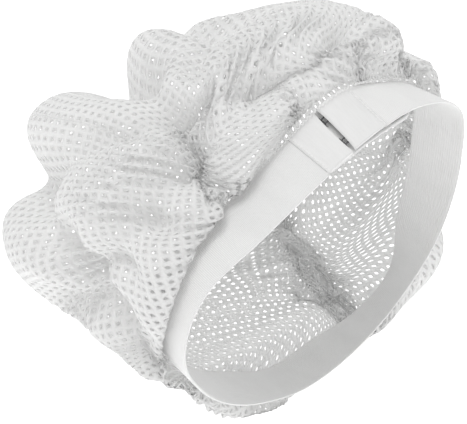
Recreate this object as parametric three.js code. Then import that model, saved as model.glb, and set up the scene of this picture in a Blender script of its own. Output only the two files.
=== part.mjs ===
// Mesh hair bonnet: a gathered pouch of coarse mesh on a wide elastic band that
// a two-row hook and eye closure fastens. It rests on its side, closure on top.
// Millimetres, +Z up. Hoop frame: the hoop's axis is y (into the pouch), its
// angle runs from +x towards +z, and the free edge of the band lies at y = 0.
import * as THREE from 'three';

// ---- driving dimensions ----
const BAND_WIDTH = 30;
const BAND_WALL = 1.6;
const MESH_WALL = 1.2;
const HEM_GAP = 2.1;
const FLOOR = -92;
const HOOP_DIP = 2.6;
const MEAN_RADIUS = 84;
const FLOP_HEIGHT = 13;
const OVER_BAND = 2;
const GAP_SIZE = 4.2;

// Closure, by angle round the hoop and by distance from the free edge.
const TAPE_WALL = 1.4;
const HOOK_TAPE_END = 86.7;
const HOOK_TAPE_SEAM = 74.2;
const EYE_TAPE_END = 88.4;
const EYE_TAPE_SEAM = 99.6;
const UNDERLAP_END = 62.5;
const CLOSURE_FROM = 69;
const CLOSURE_TO = 105;
const UNDERLAP_SKEW = 3.2;
const HOOK_PLACES = [7.6, 22.6];
const HOOK_WIRE = 0.8;
const EYE_WIRE = 0.6;

// The band's outer face round the hoop: its radius at the free edge, and how many
// degrees the band leans outwards towards the pouch.
const HOOP = [
  { angle: 0, radius: 83.2, lean: -8 },
  { angle: 20, radius: 90.3, lean: -13 },
  { angle: 40, radius: 100.4, lean: -9 },
  { angle: 60, radius: 93.3, lean: -7 },
  { angle: 80, radius: 78.3, lean: 13 },
  { angle: 100, radius: 69.1, lean: 5 },
  { angle: 120, radius: 67.7, lean: -3 },
  { angle: 140, radius: 74.6, lean: -5 },
  { angle: 160, radius: 93.2, lean: -4 },
  { angle: 180, radius: 98, lean: -3 },
  { angle: 200, radius: 92.2, lean: -2 },
  { angle: 220, radius: 86.6, lean: 0 },
  { angle: 240, radius: 82.4, lean: 5 },
  { angle: 260, radius: 80.8, lean: 17 },
  { angle: 280, radius: 77.8, lean: 19 },
  { angle: 300, radius: 75.9, lean: 33 },
  { angle: 320, radius: 76.1, lean: 34 },
  { angle: 340, radius: 79.1, lean: 5 },
];

// How far the gathered edge flops forward over the band, and how high over the
// band's face its front stands.
const FLOP = [
  { angle: 0, reach: 4, lift: 10 },
  { angle: 20, reach: 4, lift: 10 },
  { angle: 40, reach: 3, lift: 12 },
  { angle: 60, reach: 0, lift: 13 },
  { angle: 80, reach: 0, lift: 13 },
  { angle: 100, reach: 3, lift: 8 },
  { angle: 120, reach: 9, lift: 5 },
  { angle: 140, reach: 13, lift: 5 },
  { angle: 160, reach: 22, lift: 5 },
  { angle: 180, reach: 24, lift: 5 },
  { angle: 200, reach: 20, lift: 7 },
  { angle: 220, reach: 18, lift: 7 },
  { angle: 240, reach: 20, lift: 13 },
  { angle: 260, reach: 18, lift: 13 },
  { angle: 280, reach: 16, lift: 13 },
  { angle: 300, reach: 14, lift: 13 },
  { angle: 320, reach: 12, lift: 13 },
  { angle: 340, reach: 8, lift: 12 },
];

// Sections of the pouch from its centre (q = 0) to the sewn edge (q = 1):
// depth behind the free edge, centre, radius, and how round the section is
// (0 follows the hoop, 1 is a circle).
const SECTIONS = [
  { q: 0.0, depth: 146, x: -4, z: -2, radius: 0, round: 1.0 },
  { q: 0.15, depth: 145, x: -16, z: -6, radius: 36, round: 1.0 },
  { q: 0.3, depth: 133, x: -22, z: -10, radius: 68, round: 1.0 },
  { q: 0.45, depth: 112, x: -18, z: -10, radius: 90, round: 1.0 },
  { q: 0.6, depth: 86, x: -12, z: -7, radius: 104, round: 0.9 },
  { q: 0.75, depth: 60, x: -4, z: -3, radius: 110, round: 0.7 },
  { q: 0.88, depth: 40, x: 0, z: -1, radius: 107, round: 0.3 },
  { q: 0.95, depth: 32, x: 0, z: 0, radius: 97, round: 0.1 },
  { q: 0.98, depth: 30.6, x: 0, z: 0, radius: 88, round: 0.0 },
  { q: 1.0, depth: 26, x: 0, z: 0, radius: 84, round: 0.0 },
];

// Puffs (rise outwards) and sunken parts (rise inwards) of the pouch.
const PUFFS = [
  { angle: 139, q: 0.37, width: 26, rise: 18 },
  { angle: 83, q: 0.38, width: 17, rise: 17 },
  { angle: 88, q: 0.68, width: 34, rise: 2 },
  { angle: 66, q: 0.62, width: 26, rise: 7 },
  { angle: 56, q: 0.78, width: 24, rise: 6 },
  { angle: 34, q: 0.95, width: 20, rise: 1 },
  { angle: 174, q: 0.5, width: 32, rise: 16 },
  { angle: 212, q: 0.58, width: 40, rise: -16 },
  { angle: 210, q: 0.8, width: 26, rise: -15 },
  { angle: 188, q: 0.88, width: 14, rise: 10 },
  { angle: 257, q: 0.95, width: 22, rise: 12 },
  { angle: 329, q: 0.94, width: 24, rise: 15 },
  { angle: 300, q: 0.95, width: 16, rise: 3 },
  { angle: 208, q: 0.9, width: 14, rise: -12 },
  { angle: 12, q: 0.62, width: 30, rise: 8 },
  { angle: 338, q: 0.66, width: 24, rise: 8 },
  { angle: 30, q: 0.3, width: 26, rise: 7 },
  { angle: 255, q: 0.3, width: 28, rise: 7 },
];

// Folds: valleys from one place of the pouch to another.
const FOLDS = [
  { fromAngle: 118, fromQ: 0.72, toAngle: 118, toQ: 0.73, width: 12, depth: 14 },
  { fromAngle: 118, fromQ: 0.73, toAngle: 103, toQ: 0.84, width: 9, depth: 9 },
  { fromAngle: 103, fromQ: 0.84, toAngle: 88, toQ: 0.88, width: 8, depth: 10 },
  { fromAngle: 88, fromQ: 0.88, toAngle: 76, toQ: 0.85, width: 9, depth: 12 },
  { fromAngle: 76, fromQ: 0.85, toAngle: 64, toQ: 0.76, width: 9, depth: 8 },
  { fromAngle: 116, fromQ: 0.82, toAngle: 124, toQ: 0.9, width: 9, depth: 9 },
  { fromAngle: 124, fromQ: 0.9, toAngle: 136, toQ: 0.96, width: 7, depth: 6 },
  { fromAngle: 122, fromQ: 0.76, toAngle: 150, toQ: 0.79, width: 9, depth: 8 },
  { fromAngle: 150, fromQ: 0.79, toAngle: 168, toQ: 0.76, width: 9, depth: 9 },
  { fromAngle: 158, fromQ: 0.62, toAngle: 184, toQ: 0.66, width: 9, depth: 9 },
  { fromAngle: 156, fromQ: 0.3, toAngle: 152, toQ: 0.5, width: 12, depth: 20 },
  { fromAngle: 152, fromQ: 0.5, toAngle: 125, toQ: 0.7, width: 9, depth: 7 },
  { fromAngle: 106, fromQ: 0.2, toAngle: 110, toQ: 0.5, width: 10, depth: 21 },
  { fromAngle: 110, fromQ: 0.5, toAngle: 117, toQ: 0.7, width: 9, depth: 8 },
  { fromAngle: 78, fromQ: 0.3, toAngle: 82, toQ: 0.58, width: 9, depth: 14 },
  { fromAngle: 82, fromQ: 0.58, toAngle: 112, toQ: 0.72, width: 8, depth: 5 },
  { fromAngle: 42, fromQ: 0.84, toAngle: 50, toQ: 0.95, width: 8, depth: 12 },
  { fromAngle: 172, fromQ: 0.86, toAngle: 190, toQ: 0.78, width: 10, depth: 14 },
  { fromAngle: 24, fromQ: 0.92, toAngle: 30, toQ: 0.48, width: 9, depth: 9 },
  { fromAngle: 356, fromQ: 0.9, toAngle: 356, toQ: 0.45, width: 10, depth: 9 },
  { fromAngle: 4, fromQ: 0.36, toAngle: 30, toQ: 0.08, width: 9, depth: 7 },
  { fromAngle: 215, fromQ: 0.12, toAngle: 228, toQ: 0.46, width: 10, depth: 8 },
  { fromAngle: 335, fromQ: 0.38, toAngle: 318, toQ: 0.56, width: 9, depth: 10 },
  { fromAngle: 318, fromQ: 0.56, toAngle: 300, toQ: 0.74, width: 9, depth: 10 },
];
const MAP_RADIUS = 140;

// Gathers along the sewn edge.
const GATHERS = 24;
const GATHER_RISE = 1.2;

// ---- small mathematics ----
const radians = (degrees) => (degrees * Math.PI) / 180;

const smooth = (value) => {
  const t = Math.min(1, Math.max(0, value));
  return t * t * (3 - 2 * t);
};

// Smooth closed curve through a table with evenly spaced angles.
function around(table, key, angle) {
  const count = table.length;
  const step = 360 / count;
  const turn = ((angle % 360) + 360) % 360;
  const index = Math.floor(turn / step) % count;
  const u = turn / step - index;
  const [a, b, c, d] = [-1, 0, 1, 2].map((k) => table[(index + k + count) % count][key]);
  return b + 0.5 * u * (c - a + u * (2 * a - 5 * b + 4 * c - d + u * (3 * (b - c) + d - a)));
}

// Smooth curve through the sections that never overshoots a station.
function along(key, q) {
  const rows = SECTIONS;
  const last = rows.length - 1;
  const slope = (k) => (rows[k + 1][key] - rows[k][key]) / (rows[k + 1].q - rows[k].q);
  const tangent = (k) => {
    if (k === 0) return slope(0);
    if (k === last) return slope(last - 1);
    const before = slope(k - 1);
    const after = slope(k);
    if (before * after <= 0) return 0;
    const h0 = rows[k].q - rows[k - 1].q;
    const h1 = rows[k + 1].q - rows[k].q;
    return (3 * (h0 + h1)) / ((2 * h1 + h0) / before + (h1 + 2 * h0) / after);
  };
  const x = Math.min(rows[last].q, Math.max(rows[0].q, q));
  let k = 0;
  while (k < last - 1 && x > rows[k + 1].q) k += 1;
  const h = rows[k + 1].q - rows[k].q;
  const t = (x - rows[k].q) / h;
  const rise = rows[k + 1][key] - rows[k][key];
  const m0 = tangent(k) * h;
  const m1 = tangent(k + 1) * h;
  return rows[k][key] + t * m0 + t * t * (3 * rise - 2 * m0 - m1) + t ** 3 * (m0 + m1 - 2 * rise);
}

// ---- the pouch as a surface over (angle, q) ----
function plainPouch(angle, q) {
  const round = along('round', q);
  const radius = along('radius', q);
  const hoop = around(HOOP, 'radius', angle) + radius - MEAN_RADIUS;
  const tabs = smooth((angle - CLOSURE_FROM) / 5) * smooth((CLOSURE_TO - angle) / 5);
  const hem = HEM_GAP * smooth((q - 0.96) / 0.03) * (1 - 0.5 * tabs);
  const flop = smooth((0.985 - q) / 0.045) * smooth((q - 0.78) / 0.13);
  const depth = along('depth', q);
  const behind = BAND_WIDTH + 0.7 + 30 * (1 - q);
  const held = depth + Math.max(0, behind - depth) * tabs;
  const lean = radians(around(HOOP, 'lean', angle)) * smooth((q - 0.7) / 0.22);
  const along30 = Math.min(BAND_WIDTH, held);
  const front = smooth((0.985 - q) / 0.03) * smooth((q - 0.84) / 0.09);
  const sink = (around(FLOP, 'lift', angle) - FLOP_HEIGHT) * front;
  const r = hoop * (1 - round) + radius * round + hem + along30 * Math.sin(lean) + sink;
  const y = held - along30 * (1 - Math.cos(lean)) - around(FLOP, 'reach', angle) * flop;
  const a = radians(angle);
  return new THREE.Vector3(
    along('x', q) + r * Math.cos(a),
    y,
    along('z', q) + r * Math.sin(a),
  );
}

function normalOf(surface, angle, q) {
  const across = surface(angle + 1.5, q).sub(surface(angle - 1.5, q));
  const down = surface(angle, Math.min(1, q + 0.012)).sub(surface(angle, Math.max(0, q - 0.012)));
  const normal = across.cross(down).normalize();
  const crown = 1 - Math.min(1, q / 0.08);
  return normal.lerp(new THREE.Vector3(0, 1, 0), crown).normalize();
}

const mapPoint = (angle, q) => [
  q * MAP_RADIUS * Math.cos(radians(angle)),
  q * MAP_RADIUS * Math.sin(radians(angle)),
];

// Height of the puffs, folds and gathers over the plain pouch.
function relief(angle, q) {
  const [u, v] = mapPoint(angle, q);
  let height = 0;
  for (const puff of PUFFS) {
    const [pu, pv] = mapPoint(puff.angle, puff.q);
    height += puff.rise * Math.exp(-(((u - pu) ** 2 + (v - pv) ** 2) / puff.width ** 2));
  }
  for (const fold of FOLDS) {
    const [au, av] = mapPoint(fold.fromAngle, fold.fromQ);
    const [bu, bv] = mapPoint(fold.toAngle, fold.toQ);
    const length2 = (bu - au) ** 2 + (bv - av) ** 2;
    const share = ((u - au) * (bu - au) + (v - av) * (bv - av)) / length2;
    const s = Math.min(1, Math.max(0, share));
    const gap2 = (u - au - s * (bu - au)) ** 2 + (v - av - s * (bv - av)) ** 2;
    height -= fold.depth * Math.exp(-gap2 / fold.width ** 2);
  }
  const edge = smooth((0.985 - q) / 0.06) * smooth((q - 0.72) / 0.16);
  const gather = GATHER_RISE * Math.sin(radians(GATHERS * angle + 40 * Math.sin(radians(3 * angle))));
  return height * smooth((1 - q) / 0.08) + gather * edge;
}

const dip = radians(HOOP_DIP);
const heightOver = (point) => point.z * Math.cos(dip) + point.y * Math.sin(dip);

const overFloor = (point, clear = 0) => {
  const lift = Math.max(0, FLOOR + clear - heightOver(point));
  point.y += lift * Math.sin(dip);
  point.z += lift * Math.cos(dip);
  return point;
};

// Keeps a point this far out from the band's outer face.
const overBand = (point, clear) => {
  const angle = (Math.atan2(point.z, point.x) * 180) / Math.PI;
  const across = Math.min(BAND_WIDTH, Math.max(0, point.y));
  const face = around(HOOP, 'radius', angle) + across * Math.sin(radians(around(HOOP, 'lean', angle)));
  const r = Math.hypot(point.x, point.z);
  const near = point.y < BAND_WIDTH ? 1 : smooth((BAND_WIDTH + 12 - point.y) / 12);
  const grow = 1 + (Math.max(0, face + clear - r) / r) * near;
  point.x *= grow;
  point.z *= grow;
  return point;
};

// The outer face of the pouch, pressed flat where it rests.
function pouch(angle, q) {
  const point = plainPouch(angle, q);
  point.addScaledVector(normalOf(plainPouch, angle, q), relief(angle, q));
  return overFloor(q > 0.8 ? overBand(point, OVER_BAND) : point);
}

// ---- mesh building ----
const material = (name, color, roughness, metalness = 0) => {
  const made = new THREE.MeshStandardMaterial({ color, roughness, metalness });
  made.name = name;
  return made;
};

// Collects points and faces; a quad's corners run anticlockwise seen from outside.
class Builder {
  constructor() {
    this.points = [];
    this.faces = [];
  }

  point(vector) {
    this.points.push(vector.x, vector.y, vector.z);
    return this.points.length / 3 - 1;
  }

  tri(a, b, c) {
    this.faces.push(a, b, c);
  }

  quad(a, b, c, d) {
    this.tri(a, b, c);
    this.tri(a, c, d);
  }

  mesh(name, look) {
    const geometry = new THREE.BufferGeometry();
    geometry.setAttribute('position', new THREE.Float32BufferAttribute(this.points, 3));
    geometry.setIndex(this.faces);
    geometry.computeVertexNormals();
    const made = new THREE.Mesh(geometry, look);
    made.name = name;
    return made;
  }
}

// Solid between successive closed cross-sections; a ring has no end faces.
function loft(name, sections, look, ring = false) {
  const build = new Builder();
  const loops = sections.map((section) => section.map((point) => build.point(point)));
  const sides = loops[0].length;
  const spans = ring ? loops.length : loops.length - 1;
  for (let i = 0; i < spans; i += 1) {
    const here = loops[i];
    const next = loops[(i + 1) % loops.length];
    for (let j = 0; j < sides; j += 1) {
      const k = (j + 1) % sides;
      build.quad(here[j], next[j], next[k], here[k]);
    }
  }
  if (!ring) {
    const first = loops[0];
    const final = loops[loops.length - 1];
    for (let j = 1; j < sides - 1; j += 1) {
      build.tri(first[0], first[j], first[j + 1]);
      build.tri(final[0], final[j + 1], final[j]);
    }
  }
  return build.mesh(name, look);
}

// Round wire along a path.
function wire(name, path, diameter, sides, look) {
  const curve = new THREE.CatmullRomCurve3(path, false, 'centripetal');
  const spans = path.length * 2;
  const frames = curve.computeFrenetFrames(spans, false);
  const sections = [];
  for (let i = 0; i <= spans; i += 1) {
    const centre = curve.getPointAt(i / spans);
    const section = [];
    for (let j = 0; j < sides; j += 1) {
      const a = (-2 * Math.PI * j) / sides;
      section.push(
        centre
          .clone()
          .addScaledVector(frames.normals[i], (Math.cos(a) * diameter) / 2)
          .addScaledVector(frames.binormals[i], (Math.sin(a) * diameter) / 2),
      );
    }
    sections.push(section);
  }
  return loft(name, sections, look);
}

// ---- the crown: a hollow wall pierced by gaps ----
const ROWS = [
  0, 0.06, 0.13, 0.2, 0.26, 0.32, 0.38, 0.44, 0.49, 0.54, 0.59, 0.64, 0.68, 0.72, 0.76, 0.8,
  0.84, 0.88, 0.91, 0.935, 0.955, 0.972, 0.985, 1,
];

// Columns stand closer where the folds are finest.
function columnAngles() {
  const angles = [];
  for (let angle = 45; angle < 210; angle += 4.125) angles.push(angle);
  for (let angle = 210; angle < 405; angle += 6.5) angles.push(angle);
  return angles;
}

function crown(look) {
  const columns = columnAngles();
  const build = new Builder();
  const rim = ROWS.length - 1;
  const place = (angle, q, inside) => {
    const point = pouch(angle, q);
    if (!inside) return point;
    point.addScaledVector(normalOf(pouch, angle, q), -MESH_WALL);
    return overFloor(q > 0.8 ? overBand(point, OVER_BAND - MESH_WALL) : point, 0.9 * MESH_WALL);
  };
  const grids = [false, true].map((inside) => columns.map((angle) => ROWS.map((q, j) => {
    if (j === 0) return -1;
    return build.point(place(angle, q, inside));
  })));
  const poles = [false, true].map((inside) => build.point(place(0, 0, inside)));
  const isGap = (i, j) => {
    if (j < 3 || j > 18 || (i + 3 * j) % 5 !== 0 || (j % 2) !== 1) return false;
    const q = (ROWS[j] + ROWS[j + 1]) / 2;
    const angle = (columns[i] + columns[i + 1]) / 2;
    return Number.isFinite(angle) && heightOver(pouch(angle, q)) > FLOOR + 3;
  };
  for (let i = 0; i < columns.length; i += 1) {
    const n = (i + 1) % columns.length;
    build.tri(poles[0], grids[0][n][1], grids[0][i][1]);
    build.tri(poles[1], grids[1][i][1], grids[1][n][1]);
    for (let j = 1; j < rim; j += 1) {
      const outer = [grids[0][i][j], grids[0][n][j], grids[0][n][j + 1], grids[0][i][j + 1]];
      const inner = [grids[1][i][j], grids[1][n][j], grids[1][n][j + 1], grids[1][i][j + 1]];
      if (isGap(i, j)) {
        pierce(build, outer, inner);
      } else {
        build.quad(...outer);
        build.quad(inner[3], inner[2], inner[1], inner[0]);
      }
    }
    build.quad(grids[0][i][rim], grids[0][n][rim], grids[1][n][rim], grids[1][i][rim]);
  }
  return build.mesh('crown', look);
}

// One four-sided gap in the middle of a cell of the wall.
function pierce(build, outer, inner) {
  const corner = (id) => new THREE.Vector3().fromArray(build.points, 3 * id);
  const mouths = [outer, inner].map((cell) => {
    const corners = cell.map(corner);
    const middle = corners.reduce((sum, p) => sum.add(p), new THREE.Vector3()).divideScalar(4);
    const spread = corners.reduce((sum, p) => sum + p.distanceTo(middle), 0) / 4;
    const share = Math.min(0.6, (GAP_SIZE * Math.SQRT1_2) / spread);
    return corners.map((p) => build.point(middle.clone().lerp(p, share)));
  });
  for (let k = 0; k < 4; k += 1) {
    const m = (k + 1) % 4;
    build.quad(outer[k], outer[m], mouths[0][m], mouths[0][k]);
    build.quad(inner[m], inner[k], mouths[1][k], mouths[1][m]);
    build.quad(mouths[0][k], mouths[0][m], mouths[1][m], mouths[1][k]);
  }
}

// ---- the band and its closure ----
// Point on the band: angle, distance from the free edge, height over its outer face.
function onHoop(angle, across, height) {
  const lean = radians(around(HOOP, 'lean', angle));
  const r = around(HOOP, 'radius', angle) + across * Math.sin(lean) + height * Math.cos(lean);
  const y = across * Math.cos(lean) - height * Math.sin(lean);
  return new THREE.Vector3(r * Math.cos(radians(angle)), y, r * Math.sin(radians(angle)));
}

const stations = (from, to, count) => (
  Array.from({ length: count + 1 }, (_, k) => from + ((to - from) * k) / count)
);

// Strip along the hoop; each station gives its inner and outer height and its edges.
function strip(name, angles, shape, look) {
  const sections = angles.map((angle) => {
    const { low, high, near, far } = shape(angle);
    return [
      onHoop(angle, near, low),
      onHoop(angle, far, low),
      onHoop(angle, far, high),
      onHoop(angle, near, high),
    ];
  });
  return loft(name, sections, look);
}

function band(look) {
  const angles = stations(HOOK_TAPE_SEAM - 0.3, EYE_TAPE_SEAM + 0.3 - 360, 72).reverse();
  const shape = () => ({ low: -BAND_WALL, high: 0, near: 0, far: BAND_WIDTH });
  return strip('band', angles, shape, look);
}

function hookTape(look) {
  const shape = (angle) => {
    const rise = 0.6 * smooth((angle - HOOK_TAPE_SEAM) / 3);
    return { low: rise - TAPE_WALL - 0.1, high: rise + 0.1, near: 0, far: BAND_WIDTH };
  };
  return strip('hook_tape', stations(HOOK_TAPE_SEAM, HOOK_TAPE_END, 5), shape, look);
}

// The eye tape is thick where its flap holds the eyes, then runs on under the
// hook tape as a single spare layer with a rounded end.
function eyeTape(look) {
  const thick = stations(EYE_TAPE_END, EYE_TAPE_SEAM, 5);
  const thin = stations(UNDERLAP_END, EYE_TAPE_END - 0.05, 12);
  const shape = (angle) => {
    const spare = Math.min(1, Math.max(0, (EYE_TAPE_END - angle) / (EYE_TAPE_END - UNDERLAP_END)));
    const skew = UNDERLAP_SKEW * spare * spare;
    const end = Math.min(1, (angle - UNDERLAP_END) / 7);
    const corner = angle < EYE_TAPE_END ? 8 * (1 - Math.sqrt(1 - (1 - end) ** 2)) : 0;
    const deep = -3.75 + 0.9 * smooth((80 - angle) / 8);
    const flap = smooth((EYE_TAPE_SEAM - angle) / (EYE_TAPE_SEAM - EYE_TAPE_END));
    const low = angle < EYE_TAPE_END ? deep - 1 : -BAND_WALL - 0.2 - 2.95 * flap;
    const high = angle < EYE_TAPE_END ? deep : 0.4;
    return { low, high, near: corner - skew, far: BAND_WIDTH - corner - skew };
  };
  return strip('eye_tape', [...thin, ...thick], shape, look);
}

// Place beside the slit: s along the hoop from the hook tape's end, w across, n outwards.
function atSlit(place, s, w, n) {
  const radius = around(HOOP, 'radius', HOOK_TAPE_END);
  return onHoop(HOOK_TAPE_END + (s / radius) * (180 / Math.PI), place + w, n);
}

function hook(name, place, look) {
  const half = [
    [-8, 1.7, -1.45],
    [-4, 1.6, -1.45],
    [0, 1.5, -1.45],
    [1.2, 1.4, -1.5],
    [1.75, 1.2, -2.3],
    [1.1, 0.9, -3.15],
    [0.1, 0.45, -3.2],
  ];
  const path = [
    ...half.map(([s, w, n]) => atSlit(place, s, -w, n)),
    ...half.reverse().map(([s, w, n]) => atSlit(place, s, w, n)),
  ];
  return wire(name, path, HOOK_WIRE, 6, look);
}

function eye(name, place, look) {
  const path = [
    [1.85, -3.4, -2.3],
    [1.1, -3.3, -2.3],
    [0.75, -2.5, -2.3],
    [0.7, 0, -2.3],
    [0.75, 2.5, -2.3],
    [1.1, 3.3, -2.3],
    [1.85, 3.4, -2.3],
  ].map(([s, w, n]) => atSlit(place, s, w, n));
  return wire(name, path, EYE_WIRE, 6, look);
}

// ---- assembly ----
const white = material('white polyester mesh', 0xf2f3f4, 0.85);
const elastic = material('white woven elastic', 0xeeefef, 0.8);
const satin = material('white brushed tape', 0xf4f4f4, 0.6);
const steel = material('nickel plated wire', 0x8e9094, 0.35, 0.9);

const bonnet = new THREE.Group();
bonnet.name = 'mesh_hair_bonnet';
bonnet.add(crown(white));
bonnet.add(band(elastic));
bonnet.add(hookTape(satin));
bonnet.add(eyeTape(satin));
HOOK_PLACES.forEach((place, k) => {
  bonnet.add(hook(`hook_${k + 1}`, place, steel));
  bonnet.add(eye(`eye_${k + 1}`, place, steel));
});

// From the hoop frame to the resting pose, centred on the surface it rests on.
const turned = new THREE.Matrix4().makeRotationX(dip);
for (const piece of bonnet.children) piece.geometry.applyMatrix4(turned);
const box = new THREE.Box3().setFromObject(bonnet);
const shift = new THREE.Vector3(-(box.min.x + box.max.x) / 2, -(box.min.y + box.max.y) / 2, -box.min.z);
for (const piece of bonnet.children) piece.geometry.translate(shift.x, shift.y, shift.z);

export default bonnet;
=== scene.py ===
# A white mesh hair bonnet: a gathered pouch of coarse knitted mesh sewn to a wide
# elastic band, closed on top by tapes with two hooks and eyes. It rests on its side.
import math

import bmesh
import bpy
import numpy as np
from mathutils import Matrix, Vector


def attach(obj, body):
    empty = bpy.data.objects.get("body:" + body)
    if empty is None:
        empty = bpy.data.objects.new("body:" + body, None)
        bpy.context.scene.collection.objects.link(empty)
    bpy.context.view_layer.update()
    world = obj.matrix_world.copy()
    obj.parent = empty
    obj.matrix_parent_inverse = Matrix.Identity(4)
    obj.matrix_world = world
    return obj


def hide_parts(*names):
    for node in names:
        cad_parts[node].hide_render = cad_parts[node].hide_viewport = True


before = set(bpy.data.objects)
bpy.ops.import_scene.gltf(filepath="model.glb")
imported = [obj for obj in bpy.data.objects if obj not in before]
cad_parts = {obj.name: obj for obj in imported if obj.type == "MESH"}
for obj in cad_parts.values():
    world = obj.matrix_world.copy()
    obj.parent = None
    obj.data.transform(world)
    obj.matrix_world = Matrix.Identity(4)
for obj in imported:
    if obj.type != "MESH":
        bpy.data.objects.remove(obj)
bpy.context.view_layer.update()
MM = 0.001

# ---- Camera ----
# It stands in front of the opening, to the left and well above, and looks down
# into the bonnet over the closure.
camera = bpy.data.objects.new("camera", bpy.data.cameras.new("camera"))
bpy.context.collection.objects.link(camera)
camera.location = (-0.3692, -0.4402, 0.5550)
camera.rotation_euler = (math.radians(90 - 39.14), 0, math.radians(-39.97))
camera.data.lens = 107.9
camera.data.sensor_width = 36
bpy.context.scene.camera = camera

# ---- Table and studio light ----
# A plain pale table under a white tent: one broad window of light from the upper
# left, a weaker one from the right, and an even white surround.
TABLE_SIDE = 6.0
TABLE_GAP = 0.2 * MM
LAMP_AIM = (0, 0, 0.08)

table = bmesh.new()
bmesh.ops.create_grid(table, x_segments=8, y_segments=8, size=TABLE_SIDE / 2)
table_mesh = bpy.data.meshes.new("table")
table.to_mesh(table_mesh)
table.free()
table_top = bpy.data.objects.new("table", table_mesh)
bpy.context.collection.objects.link(table_top)
table_top.location.z = -TABLE_GAP
pale = bpy.data.materials.new("pale table")
pale.use_nodes = True
top = pale.node_tree.nodes["Principled BSDF"]
top.inputs["Base Color"].default_value = (0.93, 0.93, 0.93, 1)
top.inputs["Roughness"].default_value = 0.9
top.inputs["Specular IOR Level"].default_value = 0.1
top.inputs["Emission Color"].default_value = (1, 1, 1, 1)
top.inputs["Emission Strength"].default_value = 0.6
table_mesh.materials.append(pale)


def window_light(name, place, side, power):
    """A square lamp that faces the bonnet: where it stands, its side in metres, its power."""
    lamp = bpy.data.objects.new(name, bpy.data.lights.new(name, "AREA"))
    lamp.data.shape = "SQUARE"
    lamp.data.size = side
    lamp.data.energy = power
    lamp.location = place
    lamp.rotation_euler = (Vector(place) - Vector(LAMP_AIM)).to_track_quat("Z", "Y").to_euler()
    bpy.context.collection.objects.link(lamp)


window_light("window light", (-0.2, 0.25, 1.6), 0.8, 6.8)
window_light("fill light", (0.9, -1.2, 0.9), 1.0, 2)
surround = bpy.data.worlds.new("white tent")
surround.use_nodes = True
surround.node_tree.nodes["Background"].inputs["Color"].default_value = (1, 1, 1, 1)
surround.node_tree.nodes["Background"].inputs["Strength"].default_value = 0.68
bpy.context.scene.world = surround
bpy.context.scene.view_settings.view_transform = "Standard"

# ---- Elastic band ----
# A loop of white woven elastic, 30 mm wide, slack and out of round. It is ribbed
# lengthwise, finer outside than inside, and has a firm selvedge along both edges.
BAND_ACROSS = 30
BAND_WIDTH = BAND_ACROSS * MM
BAND_WALL = 1.6 * MM
BAND_FROM, BAND_TO = 99.9, 433.9
RIBS = 23
RIB_OUTER, RIB_INNER = 0.10, 0.45
SELVEDGE, SELVEDGE_SHARE = 0.3, 0.04
MEAN_RADIUS = 84
HOOP_DIP = math.radians(2.6)
HOOP_MIDDLE = np.array((7.190, -72.016, 92.000)) * MM
HOOP = [
    # angle round the hoop in degrees, radius of the free edge in mm, lean of the band in degrees
    (0, 83.2, -8), (20, 90.3, -13), (40, 100.4, -9), (60, 93.3, -7), (80, 78.3, 13), (100, 69.1, 5),
    (120, 67.7, -3), (140, 74.6, -5), (160, 93.2, -4), (180, 98, -3), (200, 92.2, -2), (220, 86.6, 0),
    (240, 82.4, 5), (260, 80.8, 17), (280, 77.8, 19), (300, 75.9, 33), (320, 76.1, 34), (340, 79.1, 5),
]


def round_table(rows, column, angle):
    """A smooth closed curve through one column of rows that are evenly spaced by angle."""
    values = np.array([row[column] for row in rows], float)
    turn = np.asarray(angle, float) % 360 * len(values) / 360
    step = np.floor(turn).astype(int)
    u = turn - step
    a, b, c, d = (values[(step + k) % len(values)] for k in (-1, 0, 1, 2))
    return b + 0.5 * u * (c - a + u * (2 * a - 5 * b + 4 * c - d + u * (3 * (b - c) + d - a)))


def settle(points):
    """From the hoop's own frame, its axis along y, to the bonnet at rest on the table."""
    x, y, z = np.moveaxis(np.asarray(points, float), -1, 0)
    tipped = (x, y * math.cos(HOOP_DIP) - z * math.sin(HOOP_DIP),
              z * math.cos(HOOP_DIP) + y * math.sin(HOOP_DIP))
    return np.stack(tipped, -1) + HOOP_MIDDLE


def on_hoop(angle, across, height):
    """Points round the band: angle in degrees, place across its width from the free edge,
    height over its outer face."""
    lean = np.radians(round_table(HOOP, 2, angle))
    radius = round_table(HOOP, 1, angle) * MM + across * np.sin(lean) + height * np.cos(lean)
    depth = across * np.cos(lean) - height * np.sin(lean)
    turn = np.radians(angle)
    return settle(np.stack([radius * np.cos(turn), depth, radius * np.sin(turn)], -1))


def places(form):
    """Where the form's points are, one row each."""
    return np.array([vert.co for vert in form.verts], float).reshape(-1, 3)


def move_to(form, spots, flat=None):
    """Moves the points to their spots, and keeps their flat coordinates for the weave."""
    if flat is not None:
        kept_flat = form.verts.layers.float_vector.new("flat")
        for vert, place in zip(form.verts, flat):
            vert[kept_flat] = Vector(place)
    for vert, spot in zip(form.verts, spots):
        vert.co = spot


def finished(form, name, finish):
    """The formed piece as an object that rides on the bonnet, with its finish and slot."""
    bmesh.ops.recalc_face_normals(form, faces=form.faces)
    mesh = bpy.data.meshes.new(name)
    form.to_mesh(mesh)
    form.free()
    mesh.shade_smooth()
    mesh.materials.append(finish)
    piece = bpy.data.objects.new(name, mesh)
    bpy.context.collection.objects.link(piece)
    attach(piece, "root")
    return piece


def flat_grid(long_cuts, wide_cuts, long_from, long_to, wide_from, wide_to):
    """A flat sheet of one layer, laid out along x with its width along y."""
    form = bmesh.new()
    bmesh.ops.create_grid(form, x_segments=long_cuts, y_segments=wide_cuts, size=0.5)
    for vert in form.verts:
        vert.co.x = long_from + (vert.co.x + 0.5) * (long_to - long_from)
        vert.co.y = wide_from + (vert.co.y + 0.5) * (wide_to - wide_from)
    return form


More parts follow.
